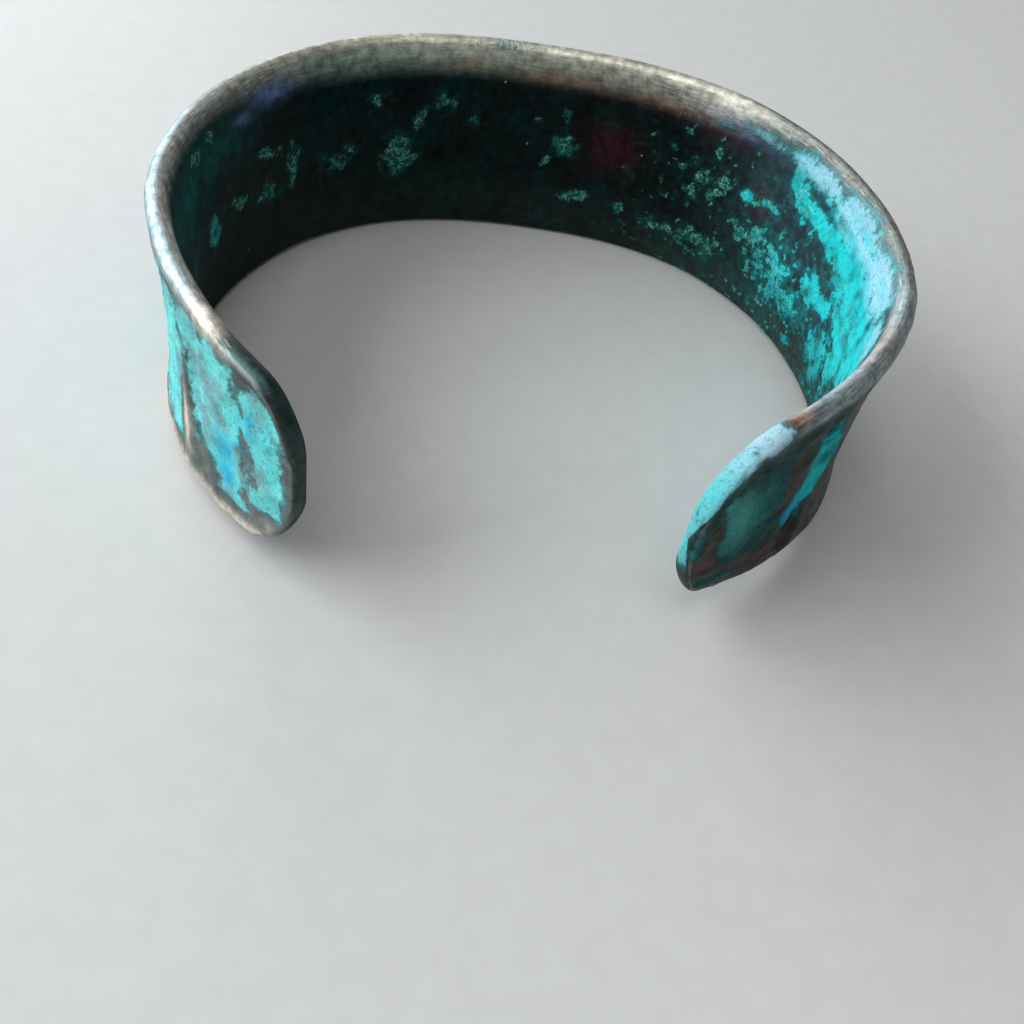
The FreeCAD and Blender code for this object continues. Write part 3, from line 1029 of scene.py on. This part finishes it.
def copper_material():
    """Copper under a dark patina, bright where the rims are worn, with matt verdigris grown over it."""
    nodes = Nodes("patinated_copper")
    place = nodes.add("ShaderNodeTexCoord", "Object", {})
    scratches = scratch_noise(nodes)
    grain = nodes.noise(place, GRAIN_SCALE, detail=6.0, roughness=0.65)
    clumps = nodes.noise(place, CLUMP_SCALE, detail=4.0, roughness=0.6)

    edge = crust_edge(nodes, grain, clumps)
    filaments = filament_cover(nodes, place)
    crust = crust_cover(nodes, edge, filaments)
    stain = nodes.ramp(edge, 0.26, 0.50, start=0.0, stop=0.55)
    metal = metal_colour(nodes, clumps, scratches, stain)
    green = crust_colour(nodes, edge, grain, filaments)
    speck = dust_specks(nodes, place)
    colour = nodes.mix(nodes.math("MULTIPLY", speck, 0.7), nodes.mix(crust, metal, green), DUST_SPECK)
    covered = nodes.math("MAXIMUM", crust, nodes.math("MULTIPLY", stain, 0.5))
    covered = nodes.math("MAXIMUM", covered, nodes.math("MAXIMUM", nodes.attribute("dust"), speck))

    nodes.give(nodes.surface.inputs["Base Color"], colour)
    nodes.give(nodes.surface.inputs["Roughness"], surface_roughness(nodes, clumps, scratches, crust))
    nodes.give(nodes.surface.inputs["Metallic"], nodes.math("SUBTRACT", 1.0, covered))
    nodes.give(nodes.surface.inputs["Normal"], surface_bump(nodes, grain, scratches, crust))
    nodes.give(nodes.surface.inputs["Specular IOR Level"], CRUST_SPECULAR)
    return nodes.material


def floor_material():
    """Plain pale floor with a faint paper grain."""
    nodes = Nodes("pale_floor")
    place = nodes.add("ShaderNodeTexCoord", "Object", {})
    grain = nodes.noise(place, PAPER_SCALE)
    nodes.give(nodes.surface.inputs["Base Color"], nodes.mix(nodes.ramp(grain, 0.3, 0.7), *FLOOR_COLOURS))
    nodes.give(nodes.surface.inputs["Roughness"], FLOOR_ROUGHNESS)
    return nodes.material


# ---------------------------------------------------------------- studio and camera

def make_floor():
    """A wide pale floor under the bracelet."""
    mesh = bpy.data.meshes.new("studio_floor")
    reach = FLOOR_REACH
    corners = [(-reach, -reach, 0), (reach, -reach, 0), (reach, reach, 0), (-reach, reach, 0)]
    mesh.from_pydata(corners, [], [(0, 1, 2, 3)])
    mesh.materials.append(floor_material())
    floor = bpy.data.objects.new("studio_floor", mesh)
    bpy.context.collection.objects.link(floor)


def add_softbox(name, azimuth, elevation, distance, size, power, colour):
    """A rectangular lamp aimed at the bracelet. Azimuth 0 is behind it, and 90 is on its left."""
    turn = math.radians(azimuth)
    tilt = math.radians(elevation)
    level = math.cos(tilt)
    toward = Vector((-math.sin(turn) * level, math.cos(turn) * level, math.sin(tilt)))
    lamp = bpy.data.lights.new(name, "AREA")
    lamp.shape = "RECTANGLE"
    lamp.size = size[0]
    lamp.size_y = size[1]
    lamp.energy = power
    lamp.color = colour
    box = bpy.data.objects.new(name, lamp)
    box.location = toward * distance
    box.rotation_euler = toward.to_track_quat("Z", "Y").to_euler()
    bpy.context.collection.objects.link(box)


def light_studio():
    """A cool window-like key from the left, its far end low behind, and a soft grey surround."""
    add_softbox("window_left", azimuth=92, elevation=34, distance=0.60, size=(0.60, 0.45), power=4.6,
                colour=(0.88, 0.95, 1.0))
    add_softbox("window_back", azimuth=38, elevation=24, distance=0.70, size=(0.60, 0.40), power=3.2,
                colour=(0.90, 0.95, 1.0))
    add_softbox("overhead", azimuth=170, elevation=75, distance=0.80, size=(0.50, 0.50), power=1.8,
                colour=(1.0, 0.98, 0.95))
    world = bpy.data.worlds.new("studio_world")
    world.use_nodes = True
    world.node_tree.nodes["Background"].inputs["Color"].default_value = WORLD_COLOUR
    world.node_tree.nodes["Background"].inputs["Strength"].default_value = WORLD_STRENGTH
    scene = bpy.context.scene
    scene.world = world
    scene.view_settings.view_transform = "Standard"


def place_camera():
    """Camera close above the front of the bracelet, rolled a little, with the bracelet high in view."""
    azimuth = math.radians(CAMERA_AZIMUTH)
    elevation = math.radians(CAMERA_ELEVATION)
    roll = math.radians(CAMERA_ROLL)
    level = math.cos(elevation)
    back = Vector((math.sin(azimuth) * level, -math.cos(azimuth) * level, math.sin(elevation)))
    level_right = Vector((0, 0, 1)).cross(back).normalized()
    level_up = back.cross(level_right)
    right = math.cos(roll) * level_right + math.sin(roll) * level_up
    up = back.cross(right)
    aim = Vector([length * MM for length in CAMERA_AIM])
    aim = aim - right * (CAMERA_LEFT * MM) - up * (CAMERA_DOWN * MM)
    camera = bpy.data.cameras.new("camera")
    camera.sensor_width = SENSOR_WIDTH
    camera.lens = LENS
    camera.clip_start = CLIP_START
    eye = bpy.data.objects.new("camera", camera)
    turn = Matrix((right, up, back)).transposed().to_4x4()
    eye.matrix_world = Matrix.Translation(aim + back * (CAMERA_DISTANCE * MM)) @ turn
    bpy.context.collection.objects.link(eye)
    bpy.context.scene.camera = eye


place_camera()
cuff = make_cuff()
cuff.data.materials.append(copper_material())
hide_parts("cuff")
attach(cuff, "root")
make_floor()
light_studio()
